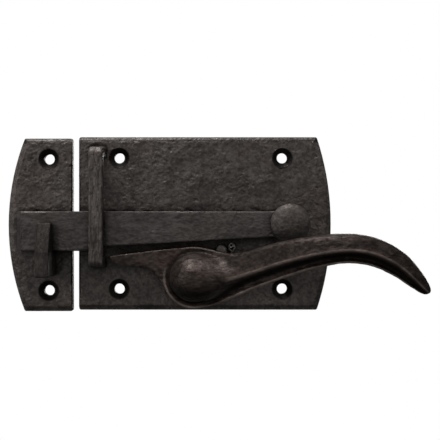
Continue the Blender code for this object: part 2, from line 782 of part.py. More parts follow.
def spring_route():
    """The wire's centre line as (x, forward, z): eye round the anchor, fixed leg, coil, moving leg."""
    start_deg = fixed_leg_deg()
    route = []
    for k in range(14, 0, -1):
        angle = math.radians(start_deg + 22 * k)
        x = ANCHOR[0] + EYE_R * math.cos(angle)
        z = ANCHOR[1] + EYE_R * EYE_STRETCH * math.sin(angle)
        route.append((x, COIL_BACK, z))
    steps = round(COIL_TURNS * 20)
    for k in range(steps + 1):
        x, z = arc(LEVER_PIVOT, COIL_R, start_deg, start_deg - 360 * COIL_TURNS * k / steps, 1)[1]
        route.append((x, COIL_BACK + (COIL_FRONT - COIL_BACK) * k / steps, z))
    angle = math.radians(moving_leg_deg())
    for radius in (COIL_R + 1.2 * MM, MOVING_LEG_R - 0.6 * MM, MOVING_LEG_R):
        x = LEVER_PIVOT[0] + radius * math.cos(angle)
        z = LEVER_PIVOT[1] + radius * math.sin(angle)
        route.append((x, COIL_FRONT, z))
    return route


def return_spring(material):
    """Torsion spring that turns the lever back up against its stop."""
    curve = bpy.data.curves.new("return_spring", "CURVE")
    curve.dimensions = "3D"
    curve.bevel_depth = WIRE_R
    curve.bevel_resolution = 2
    curve.use_fill_caps = True
    route = spring_route()
    spline = curve.splines.new("POLY")
    spline.points.add(len(route) - 1)
    for point, (x, forward, z) in zip(spline.points, route):
        point.co = (x, -forward, z, 1)
    return add(bpy.data.objects.new("return_spring", curve), material)


def stop_pin(material):
    """Round-headed pin staked through the plate, which the lever's lug rests against."""
    base = PLATE_THICK + GAP
    top = STOP_PIN_FORWARD
    profile = [
        (0, top + 0.5 * MM),
        (STOP_PIN_R * 0.5, top + 0.38 * MM),
        (STOP_PIN_R * 0.85, top),
        (STOP_PIN_R, top - 0.6 * MM),
        (STOP_PIN_R, base),
        (PIN_SHANK_R, base),
        (PIN_SHANK_R, GAP),
        (0, GAP),
    ]
    return add(turned("stop_pin", profile, STOP_PIN, segments=28), material)


def spring_anchor_pin(material):
    """Slim pin staked through the plate, which holds the eye of the spring's fixed leg."""
    top = ANCHOR_FORWARD
    profile = [(0, top), (ANCHOR_R * 0.6, top), (ANCHOR_R, top - 0.3 * MM), (ANCHOR_R, GAP), (0, GAP)]
    return add(turned("spring_anchor_pin", profile, ANCHOR, segments=16), material)


# ---- Assembly ------------------------------------------------------------------------------------
def joint_axis(name, place):
    empty = bpy.data.objects.new(name, None)
    empty.location = (place[0], 0, place[1])
    latch.objects.link(empty)
    return empty


def main():
    clear_scene()
    for collection in (latch, cutters):
        bpy.context.scene.collection.children.link(collection)
    plate_bronze = metal("plate_bronze", (0.045, 0.041, 0.038), 0.5)
    bar_bronze = metal("bar_bronze", (0.043, 0.041, 0.042), 0.48)
    lever_bronze = metal("lever_bronze", (0.036, 0.029, 0.026), 0.42)
    pin_bronze = metal("pin_bronze", (0.05, 0.046, 0.043), 0.4)
    spring_steel = metal("spring_steel", (0.12, 0.11, 0.1), 0.35, metallic=1.0)
    bar_axis = joint_axis("bar_axis", BAR_PIVOT)
    lever_axis = joint_axis("lever_axis", LEVER_PIVOT)

    main_plate(plate_bronze)
    strike_plate(plate_bronze)
    bar_guide(plate_bronze)
    strike_hook(plate_bronze)
    latch_bar(bar_bronze, bar_axis)
    bar_pivot_rivet(pin_bronze)
    bar_spacer_washer(pin_bronze)
    lever(lever_bronze, lever_axis)
    lever_thrust_washer(pin_bronze)
    lever_retaining_washer(pin_bronze, lever_axis)
    lever_retaining_screw(pin_bronze, lever_axis)
    return_spring(spring_steel)
    stop_pin(pin_bronze)
    spring_anchor_pin(pin_bronze)


main()
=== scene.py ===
import math

import bmesh
import bpy
import numpy as np
from mathutils import Matrix, Vector, geometry, kdtree, noise


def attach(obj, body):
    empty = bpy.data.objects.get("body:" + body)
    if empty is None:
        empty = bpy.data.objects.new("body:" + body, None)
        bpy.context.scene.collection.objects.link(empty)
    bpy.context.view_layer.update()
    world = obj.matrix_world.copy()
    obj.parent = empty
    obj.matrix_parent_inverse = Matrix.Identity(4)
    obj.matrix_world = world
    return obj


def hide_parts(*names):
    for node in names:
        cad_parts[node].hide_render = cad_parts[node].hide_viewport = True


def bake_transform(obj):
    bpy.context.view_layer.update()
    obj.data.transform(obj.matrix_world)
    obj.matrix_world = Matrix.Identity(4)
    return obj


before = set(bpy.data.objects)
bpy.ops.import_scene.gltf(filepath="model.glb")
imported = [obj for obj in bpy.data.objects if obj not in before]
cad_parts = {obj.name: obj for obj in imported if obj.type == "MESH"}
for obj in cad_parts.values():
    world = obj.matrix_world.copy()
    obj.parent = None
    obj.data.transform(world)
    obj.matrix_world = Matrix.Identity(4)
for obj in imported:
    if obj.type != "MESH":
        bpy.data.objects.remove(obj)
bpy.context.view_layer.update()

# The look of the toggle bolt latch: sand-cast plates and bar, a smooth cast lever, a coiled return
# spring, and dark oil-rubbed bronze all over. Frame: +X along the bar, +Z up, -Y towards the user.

MM = 0.001
PLATE_THICK = 4.8  # mm, as in the CAD source
SHARP_DEG = 32
SCREW_HOLES = [(-38.2, 28.9), (-38.2, -28.9), (33.7, 28.9), (33.7, -28.9), (-69.2, 28.4), (-69.2, -29.6)]
LEVER_PIVOT = (-5.0, -23.5)
LEVER_BACK = PLATE_THICK + 2.2
FLANGE_FRONT = PLATE_THICK + 6.6
HUB_R = 13.5
CAVITY_FRONT = PLATE_THICK + 8.2
FORWARD = (0.8, 0.98)


# ---- Meshes --------------------------------------------------------------------------------------
def new_object(name, mesh):
    obj = bpy.data.objects.new(name, mesh)
    bpy.context.scene.collection.objects.link(obj)
    return obj


def from_bmesh(name, bm):
    mesh = bpy.data.meshes.new(name)
    bm.to_mesh(mesh)
    bm.free()
    return new_object(name, mesh)


def cad_bmesh(node):
    """The CAD node's mesh with its split corners joined again."""
    bm = bmesh.new()
    bm.from_mesh(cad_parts[node].data)
    bmesh.ops.remove_doubles(bm, verts=bm.verts, dist=0.002 * MM)
    bmesh.ops.recalc_face_normals(bm, faces=bm.faces)
    return bm


def baked(obj):
    """Replaces the object's mesh with what its modifiers make of it."""
    bpy.context.view_layer.update()
    graph = bpy.context.evaluated_depsgraph_get()
    mesh = bpy.data.meshes.new_from_object(obj.evaluated_get(graph))
    obj.modifiers.clear()
    obj.data = mesh
    return obj


def flat_regions(bm, min_area, wanted):
    """Groups of joined faces that lie in one plane."""
    bm.faces.ensure_lookup_table()
    bm.faces.index_update()
    bm.normal_update()
    seen = set()
    regions = []
    for first in bm.faces:
        if first.index in seen:
            continue
        normal = first.normal.copy()
        level = normal.dot(first.verts[0].co)
        seen.add(first.index)
        waiting = [first]
        group = []
        while waiting:
            face = waiting.pop()
            group.append(face)
            for edge in face.edges:
                for other in edge.link_faces:
                    if other.index in seen or other.normal.dot(normal) < 0.9999:
                        continue
                    if max(abs(normal.dot(vert.co) - level) for vert in other.verts) < 0.003 * MM:
                        seen.add(other.index)
                        waiting.append(other)
        if sum(face.calc_area() for face in group) > min_area and wanted(normal):
            regions.append((normal, group))
    return regions


def border_of(group):
    inside = set(group)
    edges = {edge for face in group for edge in face.edges}
    return [edge for edge in edges if any(face not in inside for face in edge.link_faces)]


def is_inside(points, starts, ends):
    """Even-odd test of 2-D points against the border's segments."""
    found = np.zeros(len(points), bool)
    for at in range(0, len(points), 2000):
        x, y = points[at : at + 2000, 0:1], points[at : at + 2000, 1:2]
        crosses = (starts[:, 1] > y) != (ends[:, 1] > y)
        rise = np.where(ends[:, 1] == starts[:, 1], 1.0, ends[:, 1] - starts[:, 1])
        where = starts[:, 0] + (y - starts[:, 1]) / rise * (ends[:, 0] - starts[:, 0])
        found[at : at + 2000] = (crosses & (x < where)).sum(1) % 2 == 1
    return found


def refill(bm, normal, group, cell):
    """Swaps a flat region's few faces for small even triangles that keep its border."""
    border = border_of(group)
    verts = list({vert for edge in border for vert in edge.verts})
    index = {vert: i for i, vert in enumerate(verts)}
    across = Vector((1, 0, 0)) if abs(normal.x) < 0.9 else Vector((0, 0, 1))
    across = (across - normal * across.dot(normal)).normalized()
    up = normal.cross(across)
    level = normal.dot(verts[0].co)
    flat = np.array([(across.dot(v.co) / MM, up.dot(v.co) / MM) for v in verts])
    pairs = [(index[e.verts[0]], index[e.verts[1]]) for e in border]
    low, high = flat.min(0), flat.max(0)
    rows = int((high[1] - low[1]) / (cell * 0.866)) + 1
    columns = int((high[0] - low[0]) / cell) + 1
    inner = []
    for row in range(rows):
        for column in range(columns):
            inner.append((low[0] + (column + 0.5 * (row % 2)) * cell, low[1] + row * cell * 0.866))
    inner = np.array(inner)
    starts = flat[[a for a, b in pairs]]
    ends = flat[[b for a, b in pairs]]
    inner = inner[is_inside(inner, starts, ends)]
    tree = kdtree.KDTree(len(flat))
    for i, point in enumerate(flat):
        tree.insert((point[0], point[1], 0), i)
    tree.balance()
    inner = [p for p in inner if tree.find((p[0], p[1], 0))[2] > cell * 0.55]
    points = [Vector(p) for p in flat] + [Vector(p) for p in inner]
    made = geometry.delaunay_2d_cdt(points, pairs, [], 2, 1e-5)
    bmesh.ops.delete(bm, geom=group, context="FACES")
    placed = []
    for place, sources in zip(made[0], made[3]):
        known = [s for s in sources if s < len(verts)]
        if known:
            placed.append(verts[known[0]])
        else:
            placed.append(bm.verts.new((across * place.x + up * place.y) * MM + normal * level))
    middles = np.array([sum((made[0][i] for i in face), Vector((0, 0))) / len(face) for face in made[2]])
    kept = is_inside(middles, starts, ends)
    for face, keep in zip(made[2], kept):
        corners = [placed[i] for i in face]
        if keep and len(set(corners)) == len(corners):
            bm.faces.new(corners)
    loose = [vert for vert in placed if not vert.link_faces]
    bmesh.ops.delete(bm, geom=list(set(loose)), context="VERTS")


def densified(name, node, cell, edge_width, min_area=2.0, wanted=lambda normal: True):
    """A copy of a CAD node with rounded edges and flat faces split finely enough to be dented."""
    bm = cad_bmesh(node)
    bmesh.ops.dissolve_limit(bm, angle_limit=math.radians(0.4), verts=bm.verts, edges=bm.edges)
    bm.normal_update()
    sharp = [e for e in bm.edges if e.is_manifold and e.calc_face_angle_signed() > math.radians(38)]
    bmesh.ops.bevel(
        bm, geom=sharp, offset=edge_width * MM, segments=3, profile=0.5, affect="EDGES", clamp_overlap=True
    )
    bmesh.ops.remove_doubles(bm, verts=bm.verts, dist=0.002 * MM)
    regions = flat_regions(bm, min_area * MM * MM, wanted)
    long_edges = {e for normal, group in regions for e in border_of(group) if e.calc_length() > 1.4 * cell * MM}
    for edge in long_edges:
        bmesh.ops.bisect_edges(bm, edges=[edge], cuts=round(edge.calc_length() / (cell * MM)) - 1)
    for normal, group in regions:
        refill(bm, normal, group, cell)
    bmesh.ops.triangulate(bm, faces=[face for face in bm.faces if len(face.verts) > 4])
    bmesh.ops.recalc_face_normals(bm, faces=bm.faces)
    return from_bmesh(name, bm)


def recast(obj, voxel, smoothing):
    """Runs the whole shape together as a casting would: one skin with softened corners."""
    remesh = obj.modifiers.new("remesh", "REMESH")
    remesh.mode = "VOXEL"
    remesh.voxel_size = voxel * MM
    soften = obj.modifiers.new("soften", "SMOOTH")
    soften.factor = 0.5
    soften.iterations = smoothing
    return baked(obj)


def dent(obj, relief, facing=None):
    """Moves each point along its normal by relief(point), both in mm.

    facing gives how far forward a face has to look before it's dented at all, and in full.
    """
    mesh = obj.data
    count = len(mesh.vertices)
    co = np.empty(count * 3, np.float32)
    mesh.vertices.foreach_get("co", co)
    co = co.reshape(-1, 3)
    normals = np.empty(count * 3, np.float32)
    mesh.vertex_normals.foreach_get("vector", normals)
    normals = normals.reshape(-1, 3)
    rise = np.array([relief(Vector(p)) for p in co / MM], np.float32)
    if facing:
        rise *= np.clip((-normals[:, 1] - facing[0]) / (facing[1] - facing[0]), 0, 1)
    mesh.vertices.foreach_set("co", (co + normals * rise[:, None] * MM).ravel())
    mesh.update()


def smooth_shaded(obj, sharp_deg=SHARP_DEG):
    obj.data.shade_smooth()
    obj.data.set_sharp_from_angle(angle=math.radians(sharp_deg))


def crisp_back(obj):
    """Shades a plate's flat back as flat, by marking the edges round it sharp."""
    bm = bmesh.new()
    bm.from_mesh(obj.data)
    for edge in bm.edges:
        backs = [face.normal.y > 0.9999 for face in edge.link_faces]
        if any(backs) and not all(backs):
            edge.smooth = False
    bm.to_mesh(obj.data)
    bm.free()


def mark_wear(obj, blur=2):
    """Stores each point's mean curvature per mm, which rubbed edges and dark hollows follow."""
    mesh = obj.data
    count = len(mesh.vertices)
    co = np.empty(count * 3)
    mesh.vertices.foreach_get("co", co)
    co = co.reshape(-1, 3)
    normals = np.empty(count * 3)
    mesh.vertex_normals.foreach_get("vector", normals)
    normals = normals.reshape(-1, 3)
    ends = np.empty(len(mesh.edges) * 2, np.int64)
    mesh.edges.foreach_get("vertices", ends)
    a, b = ends[0::2], ends[1::2]
    step = (co[a] - co[b]) / MM
    length = np.maximum(np.linalg.norm(step, axis=1), 0.05)
    turn = ((normals[a] - normals[b]) * step).sum(1) / length
    total = np.bincount(a, turn, count) + np.bincount(b, turn, count)
    reach = np.maximum(np.bincount(a, length, count) + np.bincount(b, length, count), 1e-6)
    convex = total / reach
    degree = np.maximum(np.bincount(a, minlength=count) + np.bincount(b, minlength=count), 1)
    for _ in range(blur):
        near = np.bincount(a, convex[b], count) + np.bincount(b, convex[a], count)
        convex = 0.5 * convex + 0.5 * near / degree
    attribute = mesh.attributes.new("convex", "FLOAT", "POINT")
    attribute.data.foreach_set("value", convex.astype(np.float32))


def mark_painted_shade(obj, amount):
    """Stores how much painted shade each point gets, from amount(point in mm). Below zero is a painted highlight in
    the rubbed-bronze colour.
    """
    values = [amount(vert.co / MM) for vert in obj.data.vertices]
    obj.data.attributes.new("painted_shade", "FLOAT", "POINT").data.foreach_set("value", values)


def extruded(name, outline, back, front):
    """A flat outline of (x, z) made solid between two forward distances, all in mm."""
    bm = bmesh.new()
    rings = []
    for forward in (back, front):
        rings.append([bm.verts.new((x * MM, -forward * MM, z * MM)) for x, z in outline])
    bm.faces.new(rings[0])
    bm.faces.new(rings[1])
    count = len(outline)
    for k in range(count):
        bm.faces.new((rings[0][k], rings[0][(k + 1) % count], rings[1][(k + 1) % count], rings[1][k]))
    bmesh.ops.recalc_face_normals(bm, faces=bm.faces)
    return from_bmesh(name, bm)


def turned(name, profile, place, segments=64, closed=False):
    """A turned solid round a line along Y. The profile is (radius, forward) in mm, from the front."""
    bm = bmesh.new()
    rings = []
    for radius, forward in profile:
        if radius == 0:
            rings.append([bm.verts.new((place[0] * MM, -forward * MM, place[1] * MM))])
            continue
        ring = []
        for k in range(segments):
            angle = 2 * math.pi * k / segments
            x = place[0] + radius * math.cos(angle)
            z = place[1] + radius * math.sin(angle)
            ring.append(bm.verts.new((x * MM, -forward * MM, z * MM)))
        rings.append(ring)
    pairs = list(zip(rings, rings[1:]))
    if closed:
        pairs.append((rings[-1], rings[0]))
    for one, two in pairs:
        for k in range(segments):
            corners = [one[k % len(one)], one[(k + 1) % len(one)], two[(k + 1) % len(two)], two[k % len(two)]]
            bm.faces.new(list(dict.fromkeys(corners)))
    bmesh.ops.recalc_face_normals(bm, faces=bm.faces)
    return from_bmesh(name, bm)


def arc(centre, radius, start_deg, end_deg, steps):
    points = []
    for k in range(steps + 1):
        angle = math.radians(start_deg + (end_deg - start_deg) * k / steps)
        points.append((centre[0] + radius * math.cos(angle), centre[1] + radius * math.sin(angle)))
    return points


def spline(rows, per_span):
    """Points through the rows on a smooth (Catmull-Rom) curve, with the rows as numbers."""
    rows = [np.array(row, float) for row in rows]
    rows = [2 * rows[0] - rows[1]] + rows + [2 * rows[-1] - rows[-2]]
    out = []
    for a, b, c, d in zip(rows, rows[1:], rows[2:], rows[3:]):
        for k in range(per_span):
            t = k / per_span
            out.append(0.5 * (2 * b + (c - a) * t + (2 * a - 5 * b + 4 * c - d) * t * t + (3 * b - a - 3 * c + d) * t**3))
    out.append(rows[-2])
    return out


# ---- Surface relief, in mm -----------------------------------------------------------------------
def ramp(value, low, high):
    share = min(max((value - low) / (high - low), 0.0), 1.0)
    return share * share * (3 - 2 * share)


def slate(p):
    """The sand-cast face: shallow dents, crisp wrinkles drawn out sideways, and scattered pits."""
    q = Vector((p.x / 4.6, p.y / 4.0, p.z / 3.2))
    bent = q + noise.noise_vector(q * 0.7) * 0.7
    dents = noise.fractal(bent, 0.9, 2.1, 3)
    fine = Vector((p.x / 1.9, p.y / 1.6, p.z / 1.3)) + noise.noise_vector(q * 1.9) * 0.9
    wrinkle = 1 - min(abs(noise.noise(fine)) * 2.6, 1.0)
    wrinkle += 0.6 * (1 - min(abs(noise.noise(fine * 1.9 + Vector((3.1, 8.2, 5.5)))) * 2.6, 1.0))
    patch = ramp(noise.noise(q * 0.45 + Vector((2.0, 5.0, 9.0))), -0.35, 0.3)
    pit = ramp(noise.noise(fine * 0.8 + Vector((9.0, 4.0, 1.0))), 0.3, 0.62)
    return dents, wrinkle * patch, pit


def plate_relief(p):
    dents, wrinkle, pit = slate(p)
    front = ramp(-p.y, 0.4, 2.2) * (1 - 0.8 * in_countersink(p))
    return front * (0.2 * dents + 0.22 * wrinkle - 0.2 * pit - 0.12)


def bar_relief(p):
    dents, wrinkle, pit = slate(Vector((p.x * 0.8, p.y, p.z * 1.1 + 40)))
    return 0.08 * dents + 0.12 * wrinkle - 0.1 * pit - 0.06


def line(value, middle, reach):
    """1 at the middle, easing to 0 at reach on either side."""
    return 1 - ramp(abs(value - middle), 0.25 * reach, reach)


def edge_shade(obj):
    """Painted shade by distance in from the long edges: dark side, bright line left undarkened, dark slope, only 0.4
    as strong along the bottom edges. Holes are painted black as shade.
    """
    rims = [vert.co / MM for vert in obj.data.vertices if abs(vert.normal.z) > 0.8 and abs(vert.co.z) > 31 * MM]
    rims = [p for p in rims if not in_countersink(p)]
    tree = kdtree.KDTree(len(rims))
    for i, point in enumerate(rims):
        tree.insert((point.x, 0, point.z), i)
    tree.balance()

    def amount(p):
        if -p.y < 0.5:
            return 0.0
        depth = tree.find((p.x, 0, p.z))[2]
        dark = max(0.95 * (1 - ramp(depth, 0.2, 0.5)), 0.85 * ramp(depth, 0.8, 1.1) * (1 - ramp(depth, 1.9, 2.5)))
        return max(in_countersink(p), dark if p.z > 0 else 0.4 * dark)

    return amount


def in_countersink(p):
    """1 within a screw hole's countersink, 0 outside it."""
    nearest = min(math.hypot(p.x - x, p.z - z) for x, z in SCREW_HOLES)
    return 1 - ramp(nearest, 4.3, 4.75)


def streaked(p):
    """Vertical drawn-down streaks with small pits, as on the guide and hook."""
    streak = noise.fractal(Vector((p.x / 0.85, p.y / 1.3, p.z / 4.5)), 1.0, 2.0, 3)
    lumps = noise.fractal(Vector((p.x / 2.6, p.y / 2.6, p.z / 3.4)), 1.0, 2.0, 3)
    pit = ramp(noise.noise(Vector((p.x / 0.9, p.y / 0.9, p.z / 1.2))), 0.25, 0.6)
    return 0.12 * streak + 0.14 * lumps - 0.14 * pit


def hook_relief(p):
    return 0.45 * streaked(p)


def hook_top_shade(p):
    """Painted shade: the hook's upper half is darker."""
    return 0.5 * ramp(p.z, -16.0, -11.0)


def lever_relief(p):
    """Unevenness of the hand-finished casting: soft lumps and short drawn-out dents."""
    lumps = noise.fractal(Vector((p.x / 4.4, p.y / 3.4, p.z / 3.0)), 1.0, 2.0, 3)
    dimples = noise.fractal(Vector((p.x / 1.7, p.y / 1.5, p.z / 1.3)), 1.0, 2.0, 2)
    pebbles = noise.noise(Vector((p.x / 0.95, p.y / 0.95, p.z / 0.85)))
    return 0.09 * lumps + 0.07 * dimples + 0.035 * pebbles


# ---- Lever shape ---------------------------------------------------------------------------------
# Along the lever, in mm: x and z of the section's centre, half its width, the forward distances of
# its back and front from the plate's face, and how far it has turned into the grip's section.
LEVER_STATIONS = [
    (-5.0, -23.5, 13.4, 3.2, 21.1, 0.0),
    (-1.0, -23.4, 13.0, 3.4, 20.9, 0.03),
    (3.0, -23.1, 12.1, 4.8, 20.2, 0.16),
    (7.0, -22.6, 10.8, 6.8, 19.8, 0.42),
    (11.2, -21.8, 9.5, 8.4, 20.3, 0.72),
    (15.6, -20.6, 8.5, 10.4, 21.6, 0.92),
    (20.6, -19.0, 7.9, 12.8, 24.0, 1.0),
    (29.2, -15.9, 7.55, 17.6, 28.4, 1.0),
    (36.8, -13.5, 7.1, 21.6, 32.6, 1.0),
    (44.6, -11.6, 6.6, 24.8, 35.7, 1.0),
    (54.6, -10.1, 6.1, 27.4, 38.1, 1.0),
    (63.4, -10.3, 5.9, 28.6, 38.8, 1.0),
    (71.6, -12.5, 5.6, 28.4, 38.4, 1.0),
    (79.4, -16.8, 5.0, 27.2, 36.4, 1.0),
    (85.4, -21.9, 3.9, 26.0, 34.0, 1.0),
    (89.3, -25.6, 2.9, 25.2, 31.8, 1.0),
    (91.4, -27.6, 1.9, 25.5, 30.6, 1.0),
    (92.4, -28.5, 0.8, 26.6, 29.4, 1.0),
]
# Section outlines, as (across, forward) from -1 to 1, from the upper edge round by the front.
HUB_SECTION = [
    (1.0, -0.72), (0.965, -0.6), (0.87, -0.67), (0.8, -0.57), (0.77, -0.15), (0.62, 0.5), (0.32, 0.91), (0.0, 1.0),
    (-0.32, 0.91), (-0.62, 0.5), (-0.77, -0.15), (-0.8, -0.57), (-0.87, -0.67), (-0.965, -0.6), (-1.0, -0.72),
    (-1.0, -0.86), (-0.97, -0.97), (-0.7, -1.0), (-0.35, -1.0), (0.0, -1.0), (0.35, -1.0), (0.7, -1.0), (0.97, -0.97),
    (1.0, -0.86),
]
GRIP_SECTION = [
    (1.0, -0.05), (0.98, 0.3), (0.9, 0.54), (0.72, 0.72), (0.46, 0.85), (0.18, 0.96), (-0.01, 1.05), (-0.14, 1.06),
    (-0.25, 0.88), (-0.35, 0.46), (-0.47, 0.1), (-0.62, -0.04), (-0.78, 0.06), (-0.92, 0.2), (-1.01, 0.1),
    (-1.01, -0.14), (-0.9, -0.46), (-0.66, -0.78), (-0.34, -0.95), (0.0, -1.0), (0.36, -0.96), (0.68, -0.8),
    (0.9, -0.5), (0.98, -0.26),
]


def lever_shade_and_sheen():
    """Painted shade in the lever's hollows and on its undersides, and painted highlights along its ridges, from where
    a point is in its section or round the hub.
    """
    route = spline(LEVER_STATIONS, 8)
    tree = kdtree.KDTree(len(route))
    for i, row in enumerate(route):
        tree.insert((row[0], 0, row[1]), i)
    tree.balance()

    def amount(p):
        dx, dz = p.x - LEVER_PIVOT[0], p.z - LEVER_PIVOT[1]
        radius = math.hypot(dx, dz)
        nearest = tree.find((p.x, 0, p.z))[1]
        x, z, half, back, front, share = route[nearest]
        ahead = route[min(nearest + 1, len(route) - 1)]
        before = route[max(nearest - 1, 0)]
        along = Vector((ahead[0] - before[0], ahead[1] - before[1])).normalized()
        side = ((p.z - z) * along.x - (p.x - x) * along.y) / max(half, 0.5)
        forward = -p.y - PLATE_THICK
        # Painted shade: the back half of the lever, towards the plate, is darkened evenly.
        if forward < (back + front) / 2 - 0.25 * (front - back) and share > 0.1:
            return 0.3
        grip = ramp(share, 0.35, 0.85)
        uneven = 0.75 + 0.5 * noise.noise(p / 5.5)
        # Painted shade in the grip's lower valley and over its upper half; painted highlights along the keel and the
        # lower lip.
        painted_shade = grip * (0.85 * line(side, -0.52, 0.3) + 0.42 * ramp(side, -0.05, 0.2))
        painted_shade -= grip * 0.7 * uneven * line(side, -0.11, 0.13)
        painted_shade -= ramp(share, 0.1, 0.5) * 0.75 * uneven * line(side, -0.95, 0.12)
        # Painted shade in the cove round the dome and over the dome's lower part; a painted highlight along the lower
        # side of the hub's rim.
        hub = 1 - ramp(dx, 0.0, 9.0)
        painted_shade += hub * 0.85 * line(radius, 11.2, 1.3)
        painted_shade += 0.95 * (1 - ramp(dx, 4.0, 13.0)) * ramp(-dz, 2.5, 7.0) * (1 - ramp(radius, 10.4, 11.2))
        painted_shade -= (1 - ramp(dx, 2.0, 8.0)) * 0.8 * uneven * line(radius, 12.9, 0.8) * ramp(-dz, -6.0, 2.0)
        return painted_shade

    return amount


def closed_spline(rows, per_span):
    """The same curve through rows that run round in a ring."""
    ring = rows[-2:] + rows + rows[:3]
    points = spline(ring, per_span)
    return np.array(points[2 * per_span : (2 + len(rows)) * per_span])


def lever_loft():
    """The hub's dome, neck and grip as one closed skin."""
    hub = closed_spline(HUB_SECTION, 4)
    grip = closed_spline(GRIP_SECTION, 4)
    stations = spline(LEVER_STATIONS, 8)
    bm = bmesh.new()
    rings = []
    for i, (x, z, half, back, front, share) in enumerate(stations):
        before = stations[max(i - 1, 0)]
        after = stations[min(i + 1, len(stations) - 1)]
        along = Vector((after[0] - before[0], after[1] - before[1])).normalized()
        share = min(max(share, 0.0), 1.0)
        section = hub * (1 - share) + grip * share
        ring = []
        for side, out in section:
            place_x = x - along.y * side * half
            place_z = z + along.x * side * half
            forward = PLATE_THICK + (back + front) / 2 + out * (front - back) / 2
            ring.append(bm.verts.new((place_x * MM, -forward * MM, place_z * MM)))
        rings.append(ring)
    count = len(rings[0])
    for one, two in zip(rings, rings[1:]):
        for k in range(count):
            bm.faces.new((one[k], one[(k + 1) % count], two[(k + 1) % count], two[k]))
    bm.faces.new(rings[0])
    bm.faces.new(rings[-1])
    bmesh.ops.recalc_face_normals(bm, faces=bm.faces)
    return from_bmesh("lever_casting", bm)


def flange_outline():
    """The hub's round flange with the lifting tab that reaches left under the bar."""
    x, z = LEVER_PIVOT
    top = [(-12.0, 12.4), (-34.6, 9.7), (-36.2, 9.3), (-36.6, 8.9)]
    below = [(-36.3, 8.2), (-35.2, 6.9), (-32.8, 5.6), (-29.8, 5.1), (-22.6, 4.9), (-19.6, 4.2)]
    fillet = [(-17.2, 2.6), (-15.3, 0.2), (-13.9, -2.5)]
    outline = arc(LEVER_PIVOT, HUB_R, -162, 88, 40)
    outline += [(x + dx, z + dz) for dx, dz in top + below + fillet]
    return outline


def combined(obj, operation, tools):
    holder = bpy.data.collections.new(obj.name + "_tools")
    for tool in tools:
        for old in tool.users_collection:
            old.objects.unlink(tool)
        holder.objects.link(tool)
    bpy.context.scene.collection.children.link(holder)
    modifier = obj.modifiers.new(operation, "BOOLEAN")
    modifier.operation = operation
    modifier.operand_type = "COLLECTION"
    modifier.collection = holder
    baked(obj)
    for tool in tools:
        bpy.data.objects.remove(tool)
    bpy.data.collections.remove(holder)
    return obj


def hub_ball():
    """The round left half of the hub: rim, cove and ball, turned to match the loft's first section."""
    half, back, front = LEVER_STATIONS[0][2:5]
    ring = closed_spline(HUB_SECTION, 4)[28 : 28 + 40]
    profile = [(0.0, PLATE_THICK + front)]
    for side, out in ring:
        profile.append((abs(side) * half, PLATE_THICK + (back + front) / 2 + out * (front - back) / 2))
    profile = [point for point in profile if point[0] > 0.3 or point == profile[0]]
    profile.append((0.0, profile[-1][1]))
    return turned("hub_ball", profile, LEVER_PIVOT, segments=96)


def lever_piece():
    lever = lever_loft()
    flange = extruded("flange", flange_outline(), LEVER_BACK, FLANGE_FRONT)
    soft = flange.modifiers.new("bevel", "BEVEL")
    soft.width = 0.9 * MM
    soft.segments = 3
    soft.limit_method = "ANGLE"
    baked(flange)
    lug = extruded(
        "lug",
        arc(LEVER_PIVOT, 17.4, 14.0, 35.8, 8) + arc(LEVER_PIVOT, 11.0, 35.8, 14.0, 8),
        LEVER_BACK + 0.3,
        PLATE_THICK + 6.0,
    )
    spindle = turned("spindle", [(0, CAVITY_FRONT + 1), (3.9, CAVITY_FRONT + 1), (3.9, 2.0), (0, 2.0)], LEVER_PIVOT)
    combined(lever, "UNION", [hub_ball(), flange, lug, spindle])
    ring = [(5.2, CAVITY_FRONT), (9.0, CAVITY_FRONT), (9.0, LEVER_BACK - 1), (5.2, LEVER_BACK - 1)]
    cavity = turned("cavity", ring, LEVER_PIVOT, closed=True)
    tapped = turned("tapped", [(0, 8.7), (2.2, 8.7), (2.2, 1.0), (0, 1.0)], LEVER_PIVOT)
    combined(lever, "DIFFERENCE", [cavity, tapped])
    recast(lever, 0.34, 8)
    dent(lever, lever_relief)
    return lever


# ---- Return spring -------------------------------------------------------------------------------
ANCHOR = (11.5, -10.4)
EYE_R = 1.2
EYE_STRETCH = 1.3
WIRE_R = 0.42
COIL_R = 7.0
COIL_TURNS = 3.875
COIL_BACK = PLATE_THICK + 1.2
COIL_FRONT = PLATE_THICK + 6.9
MOVING_LEG_R = 10.7


